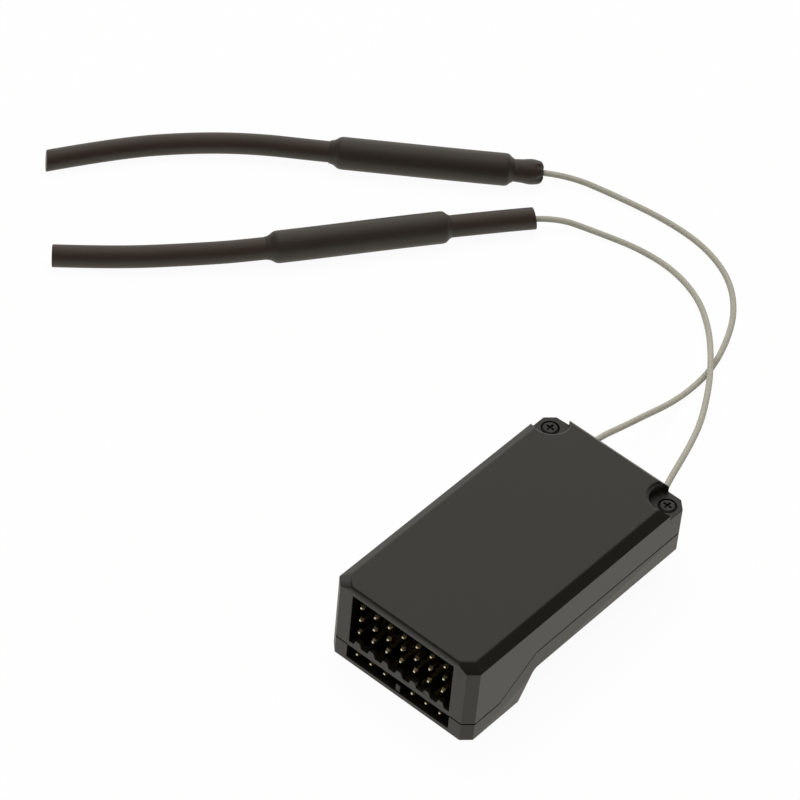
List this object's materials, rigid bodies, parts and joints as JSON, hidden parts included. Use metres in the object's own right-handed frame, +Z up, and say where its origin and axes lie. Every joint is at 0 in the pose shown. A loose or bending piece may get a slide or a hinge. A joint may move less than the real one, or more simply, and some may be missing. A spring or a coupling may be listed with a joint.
{
  "type": "rc receiver",
  "caption": "Eight channel radio control receiver in a stepped two part plastic case, with three rows of seven servo pins over two groups of three, and two thin leads ending in tube aerials.",
  "frame": {"origin": "middle of the case's bounding box, at the level of the underside below the pins", "axes": "+Z up through the flat top face, -Y out of the connector face, +Y out of the rear wall where the leads leave, +X to the right when looking at the pins"},
  "size_m": [0.1235, 0.1021, 0.0148],
  "materials": {
    "case": "fine moulded texture, warm black",
    "header": "black moulded pin block",
    "pin_gold": "thin gold plating, polished",
    "screw": "black oxide steel",
    "board": "solder mask on glass fibre board",
    "tin": "tin plated sheet",
    "chip": "moulded epoxy",
    "capacitor": "ceramic body, tan",
    "lead_jacket": "grey fluoropolymer jacket",
    "antenna_tube": "flexible vinyl tube, satin",
    "antenna_sleeve": "shrink sleeve, satin",
    "core_insulation": "clear white wire insulation"
  },
  "bodies": {
    "root": {"top_shell": "case", "bottom_shell": "case", "rear_screw_left": "screw", "rear_screw_right": "screw", "servo_header": "header", "lower_header_left": "header", "lower_header_right": "header", "connector_board": "board", "main_board": "board", "board_link": "pin_gold", "rf_shield": "tin", "radio_chip": "chip", "controller_chip": "chip", "clock_crystal": "tin", "voltage_regulator": "chip", "input_capacitor": "capacitor", "output_capacitor": "capacitor", "left_coax_socket": "pin_gold", "left_coax_plug": "pin_gold", "left_lead": "lead_jacket", "left_antenna_tube": "antenna_tube", "left_antenna_sleeve": "antenna_sleeve", "left_antenna_choke": "pin_gold", "left_antenna_core": "core_insulation", "right_coax_socket": "pin_gold", "right_coax_plug": "pin_gold", "right_lead": "lead_jacket", "right_antenna_tube": "antenna_tube", "right_antenna_sleeve": "antenna_sleeve", "right_antenna_choke": "pin_gold", "right_antenna_core": "core_insulation", "servo_pin_1_signal": "pin_gold", "servo_pin_1_power": "pin_gold", "servo_pin_1_ground": "pin_gold", "servo_pin_2_signal": "pin_gold", "servo_pin_2_power": "pin_gold", "servo_pin_2_ground": "pin_gold", "servo_pin_3_signal": "pin_gold", "servo_pin_3_power": "pin_gold", "servo_pin_3_ground": "pin_gold", "servo_pin_4_signal": "pin_gold", "servo_pin_4_power": "pin_gold", "servo_pin_4_ground": "pin_gold", "servo_pin_5_signal": "pin_gold", "servo_pin_5_power": "pin_gold", "servo_pin_5_ground": "pin_gold", "servo_pin_6_signal": "pin_gold", "servo_pin_6_power": "pin_gold", "servo_pin_6_ground": "pin_gold", "servo_pin_7_signal": "pin_gold", "servo_pin_7_power": "pin_gold", "servo_pin_7_ground": "pin_gold", "lower_pin_1": "pin_gold", "lower_pin_2": "pin_gold", "lower_pin_3": "pin_gold", "lower_pin_4": "pin_gold", "lower_pin_5": "pin_gold", "lower_pin_6": "pin_gold"}
  },
  "joints": []
}
